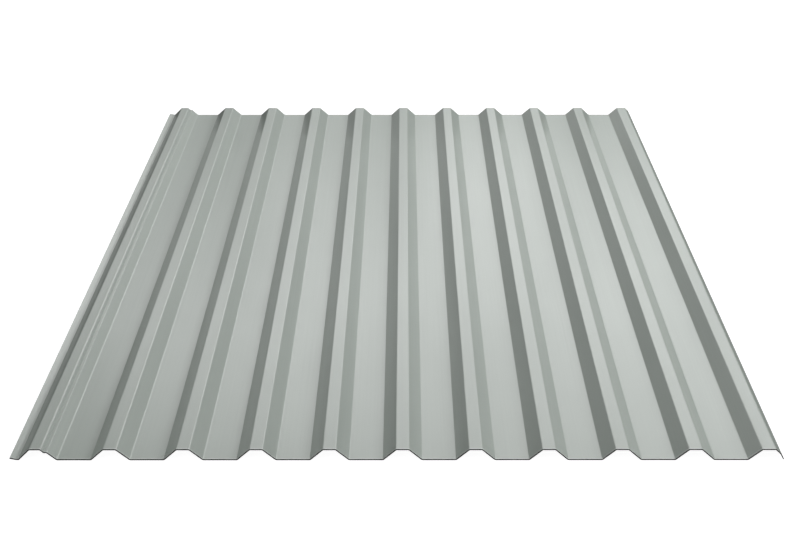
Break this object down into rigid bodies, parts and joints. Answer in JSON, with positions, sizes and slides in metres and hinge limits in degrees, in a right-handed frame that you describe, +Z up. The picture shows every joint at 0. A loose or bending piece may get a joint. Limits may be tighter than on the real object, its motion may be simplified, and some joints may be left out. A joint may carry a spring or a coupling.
{
  "type": "trapezoidal corrugated steel sheet",
  "caption": "Coated steel sheet roll formed with straight trapezoidal ribs, laid flat, for cladding a roof, wall or fence.",
  "frame": {"origin": "below the middle of the sheet's overall width and length, on the plane that the undersides of its troughs rest on", "axes": "+Y along the ribs, +X across them from the foot flange with the drain step towards the lapping leg, +Z up, away from the side that rests on the purlins"},
  "size_m": [1.1656, 1.5, 0.0197],
  "materials": {
    "coated_sheet": "satin coil coating, pale grey-green"
  },
  "bodies": {
    "root": {"corrugated_sheet": "coated_sheet"}
  },
  "joints": []
}
